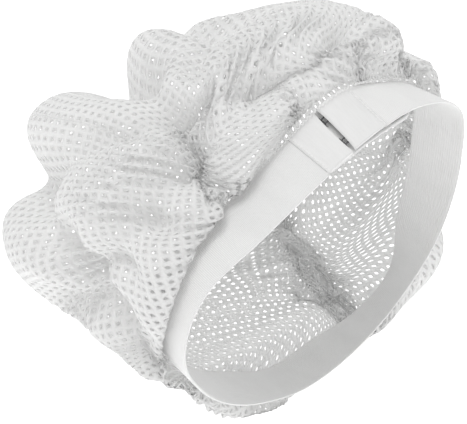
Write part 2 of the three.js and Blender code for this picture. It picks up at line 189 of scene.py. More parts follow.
def doubled(form):
    """Gives a flat form its second layer and closes it all round. The lower layer has z = 0
    and the upper one z = 1, to be given their heights later."""
    upper = bmesh.ops.extrude_face_region(form, geom=form.faces[:], use_keep_orig=True)
    for item in upper["geom"]:
        if isinstance(item, bmesh.types.BMVert):
            item.co.z = 1
    return form


def plain_finish(name, colour, roughness, sheen=0.0):
    """A finish of one colour, to be woven or scratched later."""
    finish = bpy.data.materials.new(name)
    finish.use_nodes = True
    shader = finish.node_tree.nodes["Principled BSDF"]
    shader.inputs["Base Color"].default_value = (*colour, 1)
    shader.inputs["Roughness"].default_value = roughness
    shader.inputs["Sheen Weight"].default_value = sheen
    return finish


def weave_in(finish, weave, repeats, tones, roughness, lift, follows="flat"):
    """Works a fine weave into a finish, along the piece's own flat coordinates or in space: the weave's
    texture node and repeats, its two colours, the range of its roughness and the height of its bumps.
    The colour follows the weave's height, mixed half and half with a random cloud, from the first colour
    in the low places to the second on the tops; where the first colour is the darker, the grooves are
    darkened by painted shade."""
    nodes, links = finish.node_tree.nodes, finish.node_tree.links
    shader = nodes["Principled BSDF"]
    if follows == "flat":
        source = nodes.new("ShaderNodeAttribute")
        source.attribute_name = "flat"
        place = source.outputs["Vector"]
    else:
        place = nodes.new("ShaderNodeTexCoord").outputs["Object"]
    stretch = nodes.new("ShaderNodeMapping")
    stretch.inputs["Scale"].default_value = repeats
    links.new(place, stretch.inputs["Vector"])
    links.new(stretch.outputs["Vector"], weave.inputs["Vector"])
    cloud = nodes.new("ShaderNodeTexNoise")
    cloud.inputs["Scale"].default_value = 0.11
    cloud.inputs["Detail"].default_value = 4
    links.new(stretch.outputs["Vector"], cloud.inputs["Vector"])
    height = weave.outputs["Distance"] if "Distance" in weave.outputs else weave.outputs["Fac"]
    both = nodes.new("ShaderNodeMix")
    both.inputs["Factor"].default_value = 0.5
    links.new(height, both.inputs["A"])
    links.new(cloud.outputs["Fac"], both.inputs["B"])
    # Painted shade, mixed with random tone: the base colour follows the weave's height, so a darker
    # first tone darkens its grooves.
    tone = nodes.new("ShaderNodeValToRGB")
    tone.color_ramp.elements[0].position = 0.15
    tone.color_ramp.elements[0].color = (*tones[0], 1)
    tone.color_ramp.elements[1].position = 0.65
    tone.color_ramp.elements[1].color = (*tones[1], 1)
    links.new(both.outputs["Result"], tone.inputs["Fac"])
    links.new(tone.outputs["Color"], shader.inputs["Base Color"])
    shine = nodes.new("ShaderNodeMapRange")
    shine.inputs["To Min"].default_value = roughness[0]
    shine.inputs["To Max"].default_value = roughness[1]
    links.new(both.outputs["Result"], shine.inputs["Value"])
    links.new(shine.outputs["Result"], shader.inputs["Roughness"])
    bump = nodes.new("ShaderNodeBump")
    bump.inputs["Strength"].default_value = 0.7
    bump.inputs["Distance"].default_value = lift
    links.new(height, bump.inputs["Height"])
    links.new(bump.outputs["Normal"], shader.inputs["Normal"])
    return bump


# The elastic: weft yarns cross the ribs every 0.7 mm.
elastic = plain_finish("white woven elastic", (0.80, 0.80, 0.80), 0.75, 0.25)
weft = elastic.node_tree.nodes.new("ShaderNodeTexWave")
weft.inputs["Scale"].default_value = 0.45
weft.inputs["Distortion"].default_value = 1.2
weft.inputs["Detail"].default_value = 2
weft.inputs["Detail Scale"].default_value = 3
weave_in(elastic, weft, (1, 0.35, 1), ((0.78, 0.78, 0.775), (0.89, 0.89, 0.885)), (0.62, 0.85),
         0.12 * MM)

strip = doubled(flat_grid(300, RIBS * 4, BAND_FROM, BAND_TO, 0, 1))
spots = places(strip)
across = spots[:, 1]
rib = 0.5 - 0.5 * np.cos(2 * np.pi * RIBS * across)
selvedge = np.clip(1 - np.minimum(across, 1 - across) / SELVEDGE_SHARE, 0, 1) ** 2
inner = -BAND_WALL + (RIB_INNER * rib + SELVEDGE * selvedge) * MM
outer = -(RIB_OUTER * rib + SELVEDGE * selvedge) * MM
height = np.where(spots[:, 2] > 0.5, outer, inner)
along_band = spots * (math.pi * MEAN_RADIUS / 180, BAND_WIDTH / MM, 1)
move_to(strip, on_hoop(spots[:, 0], across * BAND_WIDTH, height), along_band)
band = finished(strip, "elastic_band", elastic)
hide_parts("band")

# ---- Crown of mesh ----
# A round of white warp-knitted polyester mesh, cut 444 mm across, with 2 mm holes
# in a square net at 4 mm. Its edge is gathered to the band and its slack puffs out.
NET_PITCH = 4.0 * MM
CUT_RADIUS = 222 * MM
NET_TURN = math.radians(45)
NET_THICKNESS = 0.7 * MM
# The hole of a cell, in net pitches: how far it is let in, its corners and its radius.
HOLE_INSET, HOLE_SIDES, HOLE_RADIUS = 0.25, 8, 0.24
# How far the cloth keeps from the band, the middle of its wall, and the table's level under it.
CLEAR = 1.2 * MM
BAND_FADE = 12 * MM
WALL_MIDDLE = 0.6 * MM
FLOOR_LEVEL = -92 * MM
# The pouch, in mm and degrees: the flop's usual height, the span of the closure, where the
# mesh has to stay behind it, the hem's gap, and the radius that folds are measured on.
FLOP_HEIGHT = 13
CLOSURE_FROM, CLOSURE_TO, CLOSURE_EASE = 69, 105, 5
CLOSURE_GAP = 0.7
HEM_GAP = 2.1
MAP_RADIUS = 140
# The share of the way from the centre to the edge from which the cloth counts as sewn, and
# as rim, where it has to clear the band.
SEWN_FROM = 0.985
RIM_FROM = 0.8
FLOP = [
    # angle round the hoop, how far the gathered edge flops forward over the band, and how
    # high over the band its front stands, in mm
    (0, 13, 10), (20, 20, 10), (40, 8, 12), (60, 0, 13), (80, 0, 13), (100, 3, 8), (120, 9, 5),
    (140, 13, 5), (160, 22, 5), (180, 24, 5), (200, 20, 7), (220, 18, 7), (240, 20, 13), (260, 18, 13),
    (280, 16, 13), (300, 14, 13), (320, 14, 13), (340, 12, 12),
]
SECTIONS = [
    # share from centre to edge, depth, centre x, centre z, radius, roundness
    (0.0, 146, -4, -2, 0, 1.0),
    (0.15, 145, -16, -6, 36, 1.0),
    (0.3, 133, -22, -10, 68, 1.0),
    (0.45, 112, -18, -10, 90, 1.0),
    (0.6, 86, -12, -7, 104, 0.9),
    (0.75, 60, -4, -3, 110, 0.7),
    (0.88, 40, 0, -1, 107, 0.3),
    (0.95, 32, 0, 0, 97, 0.1),
    (0.98, 30.6, 0, 0, 88, 0.0),
    (1.0, 28.5, 0, 0, 84, 0.0),
]
PUFFS = [
    # angle, share, width, rise
    (139, 0.37, 26, 18), (83, 0.38, 17, 17), (88, 0.68, 34, 2), (66, 0.62, 26, 7), (56, 0.78, 24, 6),
    (34, 0.95, 20, 1), (174, 0.5, 32, 16), (212, 0.58, 40, -16), (210, 0.8, 26, -15),
    (188, 0.88, 14, 10), (257, 0.95, 22, 12), (329, 0.94, 24, 15), (300, 0.95, 16, 3),
    (208, 0.9, 14, -12), (12, 0.62, 30, 8), (338, 0.66, 24, 8), (30, 0.3, 26, 7), (255, 0.3, 28, 7),
    (150, 0.72, 14, 4),
]
FOLDS = [
    # from angle, share, to angle, share, width, depth
    (118, 0.72, 118, 0.73, 9, 19), (118, 0.73, 103, 0.84, 7, 12), (103, 0.84, 97, 0.87, 6, 14),
    (97, 0.87, 84, 0.91, 6, 16), (84, 0.91, 69, 0.83, 7, 14), (69, 0.83, 62, 0.80, 7, 9),
    (116, 0.82, 123, 0.85, 7, 12), (123, 0.85, 135, 0.92, 5, 9), (124, 0.79, 133, 0.84, 6, 11),
    (133, 0.84, 147, 0.83, 6, 14), (147, 0.83, 162, 0.81, 6, 14), (162, 0.81, 173, 0.74, 6, 11),
    (184, 0.64, 181, 0.84, 10, 22), (158, 0.49, 162, 0.65, 8, 13), (162, 0.65, 168, 0.72, 8, 13),
    (168, 0.72, 177, 0.78, 7, 13), (172, 0.81, 182, 0.84, 5, 12), (182, 0.84, 187, 0.88, 5, 12),
    (165, 0.85, 179, 0.86, 4, 8), (156, 0.3, 152, 0.5, 9, 26), (152, 0.5, 125, 0.7, 7, 9),
    (106, 0.2, 110, 0.5, 8, 27), (110, 0.5, 117, 0.7, 7, 11), (78, 0.3, 82, 0.58, 7, 18),
    (82, 0.58, 112, 0.72, 6, 7), (42, 0.84, 50, 0.95, 6, 16), (24, 0.92, 30, 0.48, 7, 12),
    (356, 0.9, 356, 0.45, 8, 12), (4, 0.36, 30, 0.08, 7, 9), (215, 0.12, 228, 0.46, 8, 10),
    (335, 0.38, 318, 0.56, 7, 13), (318, 0.56, 300, 0.74, 7, 13),
]
# Small pleats run round the sewn edge, except near the table: how many, how high in mm.
PLEATS, PLEAT_RISE = 9, 1.2
TUCKS = [
    # angle round the hoop at the sewn edge, how far the tuck turns towards the crown's centre,
    # the share it starts from, depth in mm
    (5, 0, 0.70, 15), (24, 0, 0.84, 8), (47, 12, 0.82, 12), (68, 0, 0.87, 12),
    (94, 0, 0.87, 12), (137, -62, 0.72, 18), (186, 14, 0.78, 11), (198, 0, 0.80, 20),
    (222, 0, 0.90, 7), (252, 0, 0.92, 5), (282, 74, 0.46, 4), (288, 71, 0.38, 5), (312, 0, 0.92, 6),
    (345, 0, 0.92, 6),
]
# A tuck's half width in degrees, the share over which it deepens, the surplus it takes up.
TUCK_WIDTH, TUCK_RUN, TUCK_SURPLUS = 2.4, 0.14, 7.5
# The loose cloth is laid, held hard for a while and then let go: the steps and how hard.
LAID_BY, HELD_BY, LET_GO_BY, LAST_STEP = 12, 16, 18, 40
HELD_HARD, LET_GO = 50, 20.0
# How well each part of it is kept in place after that, and how far it may move at most.
KEPT = 0.62
KEPT_ROLL = 0.85
KEPT_CROWN = 0.8
KEPT_FOLD = 0.85
KEPT_BENEATH = 0.97
FARTHEST = 30 * MM
# Where the roll over the band starts round the hoop and how far it goes on, and from where
# to where on it the cloth lies beneath the band, in degrees.
ROLL_START, ROLL_SPAN, ROLL_EASE = 112, 268, 12
BENEATH_FROM, BENEATH_TO, BENEATH_EASE = 94, 196, 10
# A fold of this depth in mm or more is held as firmly as any.
FULL_FOLD = 12


def ease(value):
    """From 0 to 1 with a soft start and end."""
    t = np.clip(value, 0, 1)
    return t * t * (3 - 2 * t)


def section(column, share):
    """A smooth curve through one column of SECTIONS that never overshoots a station."""
    rows = np.array(SECTIONS)
    at, value = rows[:, 0], rows[:, column]
    gap = np.diff(at)
    slope = np.diff(value) / gap
    before, after = slope[:-1], slope[1:]
    same = before * after > 0
    weight = 3 * (gap[:-1] + gap[1:])
    mean = weight / np.where(same, (2 * gap[1:] + gap[:-1]) / np.where(same, before, 1)
                             + (gap[1:] + 2 * gap[:-1]) / np.where(same, after, 1), 1)
    tangent = np.concatenate([slope[:1], np.where(same, mean, 0), slope[-1:]])
    k = np.clip(np.searchsorted(at, share, side="right") - 1, 0, len(gap) - 1)
    t = (np.clip(share, 0, 1) - at[k]) / gap[k]
    rise, m0, m1 = value[k + 1] - value[k], tangent[k] * gap[k], tangent[k + 1] * gap[k]
    return value[k] + t * m0 + t * t * (3 * rise - 2 * m0 - m1) + t ** 3 * (m0 + m1 - 2 * rise)


def plain_pouch(angle, share):
    """The pouch without folds, in the hoop's frame: angle round it, share from centre to edge."""
    roundness, radius = section(5, share), section(4, share)
    hoop = round_table(HOOP, 1, angle) + radius - MEAN_RADIUS
    turned = np.asarray(angle, float) % 360
    tabs = ease((turned - CLOSURE_FROM) / CLOSURE_EASE) * ease((CLOSURE_TO - turned) / CLOSURE_EASE)
    hem = HEM_GAP * ease((share - 0.96) / 0.03) * (1 - 0.5 * tabs)
    flop = ease((SEWN_FROM - share) / 0.045) * ease((share - 0.78) / 0.13)
    front = ease((SEWN_FROM - share) / 0.03) * ease((share - 0.84) / 0.09)
    depth = section(1, share)
    behind = BAND_ACROSS + CLOSURE_GAP + BAND_ACROSS * (1 - share)
    held = depth + np.maximum(0, behind - depth) * tabs
    on_band = np.minimum(BAND_ACROSS, held)
    lean = np.radians(round_table(HOOP, 2, angle)) * ease((share - 0.7) / 0.22)
    sink = (round_table(FLOP, 2, angle) - FLOP_HEIGHT) * front
    r = hoop * (1 - roundness) + radius * roundness + hem + on_band * np.sin(lean) + sink
    y = held - on_band * (1 - np.cos(lean)) - round_table(FLOP, 1, angle) * flop
    turn = np.radians(angle)
    spot = (section(2, share) + r * np.cos(turn), y, section(3, share) + r * np.sin(turn))
    return np.stack(spot, -1) * MM


def outwards(angle, share, turn=1.5, step=0.012):
    """The way out from the plain pouch, from its points a small turn and step to each side."""
    across = plain_pouch(angle + turn, share) - plain_pouch(angle - turn, share)
    further, nearer = np.minimum(1, share + step), np.maximum(0, share - step)
    down = plain_pouch(angle, further) - plain_pouch(angle, nearer)
    normal = np.cross(across, down)
    normal /= np.maximum(np.linalg.norm(normal, axis=-1, keepdims=True), 1e-12)
    crown = (1 - np.minimum(1, share / 0.08))[..., None]
    normal = normal * (1 - crown) + np.array((0, 1, 0)) * crown
    return normal / np.linalg.norm(normal, axis=-1, keepdims=True)


def on_map(angle, share):
    """The pouch spread out as a flat round, on which puffs and folds are measured."""
    turn = np.radians(angle)
    return share * MAP_RADIUS * np.cos(turn), share * MAP_RADIUS * np.sin(turn)


def fold_profiles(angle, share):
    """For each fold its profile, from 0 away from it to 1 along its line, and its depth."""
    u, v = on_map(angle, share)
    for angle_a, share_a, angle_b, share_b, width, depth in FOLDS:
        (au, av), (bu, bv) = on_map(angle_a, share_a), on_map(angle_b, share_b)
        along = ((u - au) * (bu - au) + (v - av) * (bv - av)) / ((bu - au) ** 2 + (bv - av) ** 2)
        s = np.clip(along, 0, 1)
        gap2 = (u - au - s * (bu - au)) ** 2 + (v - av - s * (bv - av)) ** 2
        yield np.exp(-gap2 / width ** 2), depth


def relief(angle, share):
    """Height of the puffs and folds over the plain pouch, in mm."""
    u, v = on_map(angle, share)
    height = 0 * u
    for puff_angle, puff_share, width, rise in PUFFS:
        pu, pv = on_map(puff_angle, puff_share)
        height += rise * np.exp(-((u - pu) ** 2 + (v - pv) ** 2) / width ** 2)
    for profile, depth in fold_profiles(angle, share):
        height -= depth * profile
    return height * ease((1 - share) / 0.08)


def tuck_profile(angle, share, tuck, slant):
    """From 0 away from a tuck to 1 along its line, which may turn on its way to the centre."""
    off = (angle - tuck - slant * (1 - share) + 180) % 360 - 180
    return np.exp(-(off / TUCK_WIDTH) ** 2)


def tucked(angle, share, step=0.25, levels=25, still=165):
    """Where round the hoop a place of the flat cut comes to lie: most of the surplus goes into
    the tucks, so the mesh between them is hardly squeezed. It is worked out for a few levels
    from centre to edge, in steps of angle, and the angle still stays in place."""
    fine = np.arange(-360, 721, step)
    one_turn = round(360 / step)
    drawn = []
    for level in np.linspace(0, 1, levels + 1):
        amount = np.ones_like(fine)
        for tuck, slant, start, _ in TUCKS:
            deepens = ease((level - start) / TUCK_RUN)
            amount += TUCK_SURPLUS * tuck_profile(fine, level, tuck, slant) * deepens
        flat = np.concatenate([[0], np.cumsum((amount[1:] + amount[:-1]) / 2)])
        flat = flat * 360 / (flat[one_turn] - flat[0])
        flat += still - np.interp(still, fine, flat)
        drawn.append(np.interp(angle, flat, fine))
    drawn = np.array(drawn)
    at = np.clip(share, 0, 1) * levels
    k = np.minimum(at.astype(int), levels - 1)
    pick = np.indices(share.shape)
    low, high = drawn[(k, *pick)], drawn[(k + 1, *pick)]
    return low + (high - low) * (at - k)


def pleats(angle, share):
    """Height of the small pleats that run back from the sewn edge and of the tucks, in mm."""
    wander = 34 * np.sin(np.radians(3 * angle)) + 25 * np.sin(np.radians(7 * angle + 40))
    wave = np.sin(np.radians(PLEATS * angle + wander))
    aloft = ease((np.abs((angle - 80) % 360 - 180) - 40) / 30)
    rise = PLEAT_RISE * wave * aloft * ease((1.0 - share) / 0.05) * ease((share - 0.6) / 0.35)
    for tuck, slant, start, depth in TUCKS:
        reach = ease((share - start) / TUCK_RUN) * ease((0.99 - share) / 0.07)
        rise = rise - depth * tuck_profile(angle, share, tuck, slant) * reach
    return rise


def over_floor(spots):
    """Lifts points in the hoop's frame on to the table, where they would be under it."""
    level = spots[..., 2] * math.cos(HOOP_DIP) + spots[..., 1] * math.sin(HOOP_DIP)
    lift = np.maximum(0, FLOOR_LEVEL + NET_THICKNESS - level)[..., None]
    return spots + lift * np.array((0, math.sin(HOOP_DIP), math.cos(HOOP_DIP)))


def over_band(spots):
    """Keeps points in the hoop's frame clear of the band's outer face."""
    angle = np.degrees(np.arctan2(spots[..., 2], spots[..., 0]))
    radius = np.hypot(spots[..., 0], spots[..., 2])
    across = np.clip(spots[..., 1], 0, BAND_WIDTH)
    face = round_table(HOOP, 1, angle) * MM + across * np.sin(np.radians(round_table(HOOP, 2, angle)))
    near = ease((BAND_WIDTH + BAND_FADE - spots[..., 1]) / BAND_FADE)
    grow = 1 + np.maximum(0, face + CLEAR - radius) / np.maximum(radius, MM) * near
    return spots * np.stack([grow, 1 + 0 * grow, grow], -1)


def cleared(spots, share):
    """The rim clear of the band, and everything over the table."""
    rim = (share > RIM_FROM)[..., None]
    return over_floor(np.where(rim, over_band(spots), spots))


def pouch(angle, share):
    """The pouch with its puffs, folds, pleats and tucks, in the hoop's frame."""
    height = (relief(angle, share) + pleats(angle, share)) * MM - WALL_MIDDLE
    spots = plain_pouch(angle, share) + height[..., None] * outwards(angle, share)
    return cleared(spots, share)


# The cloth as a lattice of net crossings, cut round, and how well each is kept in place:
# the roll over the band, the crown, the folds and the part beneath are held more firmly.
CELLS = 2 * math.ceil(CUT_RADIUS / NET_PITCH)
steps = (np.arange(CELLS + 1) - CELLS / 2) * NET_PITCH
flat_x, flat_y = np.meshgrid(steps, steps, indexing="ij")
flat_r = np.hypot(flat_x, flat_y)
flat_angle = np.degrees(np.arctan2(flat_y, flat_x) + NET_TURN)
flat_share = np.minimum(flat_r / CUT_RADIUS, 1)
cell_r = np.hypot(flat_x[:-1, :-1] + NET_PITCH / 2, flat_y[:-1, :-1] + NET_PITCH / 2)
whole_cell = cell_r <= CUT_RADIUS
hoop_angle = tucked(flat_angle % 360, flat_share)
laid = pouch(hoop_angle, flat_share)
turned = (hoop_angle - ROLL_START) % 360
on_roll = ease(turned / ROLL_EASE) * ease((ROLL_SPAN - turned) / ROLL_EASE)
rolls = ease((flat_share - 0.82) / 0.08) * on_roll
crown = ease((0.66 - flat_share) / 0.15)
kept = KEPT + (KEPT_ROLL - KEPT) * rolls + (KEPT_CROWN - KEPT) * crown
fold_marks = fold_profiles(hoop_angle, flat_share)
creased = np.max([profile * min(1, depth / FULL_FOLD) for profile, depth in fold_marks], axis=0)
kept = np.maximum(kept, KEPT + (KEPT_FOLD - KEPT) * creased)
beneath = ease((turned - BENEATH_FROM) / BENEATH_EASE) * ease((BENEATH_TO - turned) / BENEATH_EASE)
kept = kept + (KEPT_BENEATH - kept) * beneath * ease((flat_share - 0.86) / 0.05)


def relaxed(laid):
    """Lets the laid cloth go: it wants its flat size back, so its surplus buckles into folds."""
    sheet = bmesh.new()
    bmesh.ops.create_grid(sheet, x_segments=CELLS, y_segments=CELLS, size=CELLS * NET_PITCH / 2)
    at = np.rint(places(sheet)[:, :2] / NET_PITCH + CELLS / 2).astype(int)
    used = np.zeros(flat_r.shape, bool)
    for di, dj in ((0, 0), (1, 0), (0, 1), (1, 1)):
        used[di:CELLS + di, dj:CELLS + dj] |= whole_cell
    out = [v for v, (i, j) in zip(sheet.verts, at) if not used[i, j]]
    bmesh.ops.delete(sheet, geom=out, context="VERTS")
    lost = []
    for face in sheet.faces:
        i, j = np.floor(np.array(face.calc_center_median())[:2] / NET_PITCH + CELLS / 2).astype(int)
        if not whole_cell[i, j]:
            lost.append(face)
    bmesh.ops.delete(sheet, geom=lost, context="FACES")
    flat = places(sheet)
    at = np.rint(flat[:, :2] / NET_PITCH + CELLS / 2).astype(int)
    mesh = bpy.data.meshes.new("loose cloth")
    sheet.to_mesh(mesh)
    sheet.free()
    cloth = bpy.data.objects.new("loose cloth", mesh)
    bpy.context.collection.objects.link(cloth)
    start = laid[at[:, 0], at[:, 1]]
    cloth.shape_key_add(name="cut")
    lay = cloth.shape_key_add(name="laid")
    lay.data.foreach_set("co", start.ravel())
    lay.value = 0
    lay.keyframe_insert("value", frame=1)
    lay.value = 1
    lay.keyframe_insert("value", frame=LAID_BY)
    share = flat_share[at[:, 0], at[:, 1]]
    held = cloth.vertex_groups.new(name="held")
    for index, (out_to, grip) in enumerate(zip(share, kept[at[:, 0], at[:, 1]])):
        held.add([index], 1.0 if out_to > SEWN_FROM else grip, "REPLACE")
    give = cloth.modifiers.new("give", "CLOTH").settings
    give.quality = 8
    give.mass = 0.01
    give.tension_stiffness = 10
    give.compression_stiffness = 30
    give.shear_stiffness = 4
    give.bending_stiffness = 10
    give.air_damping = 5
    give.vertex_group_mass = "held"
    give.effector_weights.gravity = 0
    for grip, step in ((HELD_HARD, 1), (HELD_HARD, HELD_BY), (LET_GO, LET_GO_BY)):
        give.pin_stiffness = grip
        give.keyframe_insert("pin_stiffness", frame=step)
    scene = bpy.context.scene
    for step in range(1, LAST_STEP + 1):
        scene.frame_set(step)
    loose = cloth.evaluated_get(bpy.context.evaluated_depsgraph_get()).to_mesh()
    end = np.zeros(len(flat) * 3)
    loose.vertices.foreach_get("co", end)
    scene.frame_set(1)
    end = end.reshape(-1, 3)
    bpy.data.objects.remove(cloth)
    moved = end - start
    far = np.linalg.norm(moved, axis=1)
    result = laid.copy()
    result[at[:, 0], at[:, 1]] = start + moved * (FARTHEST / np.hypot(FARTHEST, far))[:, None]
    return result


lattice = cleared(relaxed(laid), flat_share)


def on_cloth(x, y, height):
    """Points on the cloth by their place on the flat cut, in net pitches from one corner."""
    i = np.clip(np.floor(x).astype(int), 0, CELLS - 1)
    j = np.clip(np.floor(y).astype(int), 0, CELLS - 1)
    u, v = x - i, y - j

    def curve(t):
        return (-0.5 * t + t * t - 0.5 * t ** 3, 1 - 2.5 * t * t + 1.5 * t ** 3,
                0.5 * t + 2 * t * t - 1.5 * t ** 3, -0.5 * t * t + 0.5 * t ** 3)

    def slant(t):
        return (-0.5 + 2 * t - 1.5 * t * t, -5 * t + 4.5 * t * t,
                0.5 + 4 * t - 4.5 * t * t, -t + 1.5 * t * t)

    spot, along_x, along_y = 0, 0, 0
    for a in range(4):
        for b in range(4):
            corner = lattice[np.clip(i + a - 1, 0, CELLS), np.clip(j + b - 1, 0, CELLS)]
            spot = spot + (curve(u)[a] * curve(v)[b])[:, None] * corner
            along_x = along_x + (slant(u)[a] * curve(v)[b])[:, None] * corner
            along_y = along_y + (curve(u)[a] * slant(v)[b])[:, None] * corner
    normal = np.cross(along_x, along_y)
    normal /= np.maximum(np.linalg.norm(normal, axis=1, keepdims=True), 1e-12)
    return spot + height[:, None] * normal


# The knit: loops of fine yarn about 0.5 mm long, thin enough to let light through.
net_white = plain_finish("white mesh knit", (0.90, 0.90, 0.90), 0.8, 0.3)
loops = net_white.node_tree.nodes.new("ShaderNodeTexVoronoi")
loops.inputs["Scale"].default_value = 1.0
loops.inputs["Randomness"].default_value = 0.35
loop_bump = weave_in(net_white, loops, (8, 8, 1), ((0.93, 0.93, 0.925), (0.87, 0.87, 0.865)), (0.7, 0.9),
                     0.18 * MM)
net_shader = net_white.node_tree.nodes["Principled BSDF"]
glow = net_white.node_tree.nodes.new("ShaderNodeBsdfTranslucent")
# A faint glow all over the mesh, with no lamp in it: painted light that lifts the shade in its folds and
# tucks.
net_shader.inputs["Emission Color"].default_value = (1, 1, 1, 1)
net_shader.inputs["Emission Strength"].default_value = 0.085
glow.inputs["Color"].default_value = (0.93, 0.93, 0.93, 1)
through = net_white.node_tree.nodes.new("ShaderNodeMixShader")
through.inputs["Fac"].default_value = 0.32
net_links = net_white.node_tree.links
net_links.new(loop_bump.outputs["Normal"], glow.inputs["Normal"])
net_links.new(net_shader.outputs["BSDF"], through.inputs[1])
net_links.new(glow.outputs["BSDF"], through.inputs[2])
net_links.new(through.outputs["Shader"], net_white.node_tree.nodes["Material Output"].inputs["Surface"])


def net_panel(name, i_from, i_to, j_from, j_to):
    """One panel of the net: cells with a round hole each, in two layers, laid on the cloth."""
    form = flat_grid(i_to - i_from, j_to - j_from, i_from, i_to, j_from, j_to)
    gone = []
    for face in form.faces:
        middle = face.calc_center_median()
        if not whole_cell[int(middle.x), int(middle.y)]:
            gone.append(face)
    bmesh.ops.delete(form, geom=gone, context="FACES")
    cells = form.faces[:]
    bmesh.ops.inset_individual(form, faces=cells, thickness=HOLE_INSET)
    rims = [edge for face in cells for edge in face.edges]
    bmesh.ops.subdivide_edges(form, edges=rims, cuts=1)
    holes = [face for face in form.faces if len(face.verts) == HOLE_SIDES]
    for hole in holes:
        middle = hole.calc_center_median()
        for vert in hole.verts:
            vert.co = middle + (vert.co - middle).normalized() * HOLE_RADIUS
    bmesh.ops.delete(form, geom=holes, context="FACES")
    spots = places(doubled(form))
    height = (spots[:, 2] - 0.5) * NET_THICKNESS
    move_to(form, settle(on_cloth(spots[:, 0], spots[:, 1], height)), spots)
    return finished(form, name, net_white)


HALF = CELLS // 2
corners = [(a, b) for a in (0, HALF) for b in (0, HALF)]
for number, (a, b) in enumerate(corners, start=1):
    panel = net_panel(f"crown_net_{number}", a, a + HALF, b, b + HALF)
    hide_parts("crown")

# ---- Gathering seam ----
# A zigzag of polyester thread runs round the far edge of the band, through the
# gathers of the mesh, and holds them to the elastic.
THREAD = 0.45 * MM
ZIGZAG_STEP = 2.5 * MM
ZIGZAG_REACH = 1.3 * MM
SEAM_DEPTH = 28.2 * MM
SEAM_HEIGHT = 1.9 * MM

# The thread: two plies twisted together, crossing it about once a millimetre, slightly glossy.
thread_white = plain_finish("white polyester thread", (0.88, 0.88, 0.88), 0.5, 0.1)
twist = thread_white.node_tree.nodes.new("ShaderNodeTexWave")
twist.bands_direction = "DIAGONAL"
twist.inputs["Scale"].default_value = 0.5
weave_in(thread_white, twist, (1000, 1000, 1000), ((0.82, 0.82, 0.815), (0.92, 0.92, 0.915)), (0.4, 0.6),
         0.08 * MM, follows="space")


def thread_piece(name, path, width, closed=False):
    """A smooth round thread or wire through the points of path, as a mesh."""
    curve = bpy.data.curves.new(name, "CURVE")
    curve.dimensions = "3D"
    curve.bevel_depth = width / 2
    curve.bevel_resolution = 2
    curve.resolution_u = 4
    curve.use_fill_caps = not closed
    line = curve.splines.new("NURBS")
    line.points.add(len(path) - 1)
    for point, spot in zip(line.points, path):
        point.co = (*spot, 1)
    line.order_u = 3
    line.use_cyclic_u = closed
    line.use_endpoint_u = not closed
    lent = bpy.data.objects.new(name, curve)
    bpy.context.collection.objects.link(lent)
    made = bpy.data.meshes.new_from_object(lent.evaluated_get(bpy.context.evaluated_depsgraph_get()))
    bpy.data.objects.remove(lent)
    form = bmesh.new()
    form.from_mesh(made)
    bpy.data.meshes.remove(made)
    bmesh.ops.remove_doubles(form, verts=form.verts, dist=width / 100)
    return form


hoop_length = 2 * math.pi * float(np.mean([row[1] for row in HOOP])) * MM
zigs = 2 * round(hoop_length / ZIGZAG_STEP)
zig_angle = np.arange(zigs) * 360 / zigs
zig_depth = SEAM_DEPTH + ZIGZAG_REACH * np.where(np.arange(zigs) % 2 == 0, 1, -1)
seam_path = on_hoop(zig_angle, zig_depth, SEAM_HEIGHT)
finished(thread_piece("gathering_seam", seam_path, THREAD, closed=True),
         "gathering_seam", thread_white)

# ---- Hook and eye tape ----
# Two tabs of white brushed satin tape close the band. The upper one carries the
# hooks on its underside. The lower one carries the eyes under its flap and runs on
# beneath as a spare layer with a rounded end. Both are stitched to the elastic.

# Where the tabs end at the slit and at their seams, and where the spare layer ends, in
# degrees round the hoop. The cuts are those of the flat strips, along and across.
HOOK_TAPE_END, HOOK_TAPE_SEAM = 86.7, 74.2
EYE_TAPE_END, EYE_TAPE_SEAM = 88.4, 99.6
UNDERLAP_END = 62.5
UNDERLAP_SKEW = 3.2 * MM
TAB_CUTS, SPARE_CUTS = (40, 60), (66, 60)
TAPE_ROLL = 0.6 * MM
# Past its seam a tab laps over the band for a little, thin and flat: how far, in degrees,
# over how many it thins out, the level of its middle there and half its thickness.
TAPE_LAP, LAP_EASE = 0.8, 0.3
LAP_LEVEL, LAP_HALF = 0.14 * MM, 0.12 * MM
# The hook tab: half its thickness, how deep its middle lies, how far it rises to the slit.
HOOK_TAB_HALF, HOOK_TAB_SINK, HOOK_TAB_RISE = 0.8 * MM, 0.7 * MM, 0.6 * MM
# The eye tab: its top over the band, its underside at the seam, how much lower at the slit.
EYE_TAB_TOP, EYE_TAB_UNDER, EYE_TAB_DROP = 0.4 * MM, -1.8, 2.95
# The spare layer, under both: its level and how far its end comes up, half its thickness,
# and its rounded corner, which takes up this much of its width over this many degrees.
SPARE_LEVEL, SPARE_LIFT, SPARE_HALF = -4.25, 0.9, 0.45 * MM
SPARE_CORNER, SPARE_CORNER_RUN = 8 * MM, 7
# Its edge is bound: how much thicker the hem is, and between which distances from the edge.
BINDING, BINDING_FROM, BINDING_TO = 0.3 * MM, 0.2 * MM, 2.0 * MM
# The seams: a ridge in the tape, and short stitches on it with their step and size.
SEAM_RIDGE, SEAM_HALF = 0.32 * MM, 0.55 * MM
STITCH, STITCH_LONG, STITCH_WIDE, STITCH_THICK = 1.9 * MM, 0.92, 0.9 * MM, 0.42 * MM
STITCH_FIRST, STITCH_HEIGHT = 1.6 * MM, 0.50 * MM
# How far the tabs' free ends bow towards each other, in degrees.
SLIT_BOW = 0.55
arc = float(round_table(HOOP, 1, HOOK_TAPE_END)) * MM * math.pi / 180

# The tape: fine fibres brushed across the band, with a soft sheen.
satin = plain_finish("white brushed satin tape", (0.86, 0.86, 0.86), 0.5, 0.5)
satin.node_tree.nodes["Principled BSDF"].inputs["Sheen Roughness"].default_value = 0.4
fibres = satin.node_tree.nodes.new("ShaderNodeTexNoise")
fibres.inputs["Scale"].default_value = 1.0
fibres.inputs["Detail"].default_value = 5
weave_in(satin, fibres, (7, 0.9, 1), ((0.76, 0.76, 0.755), (0.84, 0.84, 0.835)), (0.42, 0.62), 0.10 * MM)


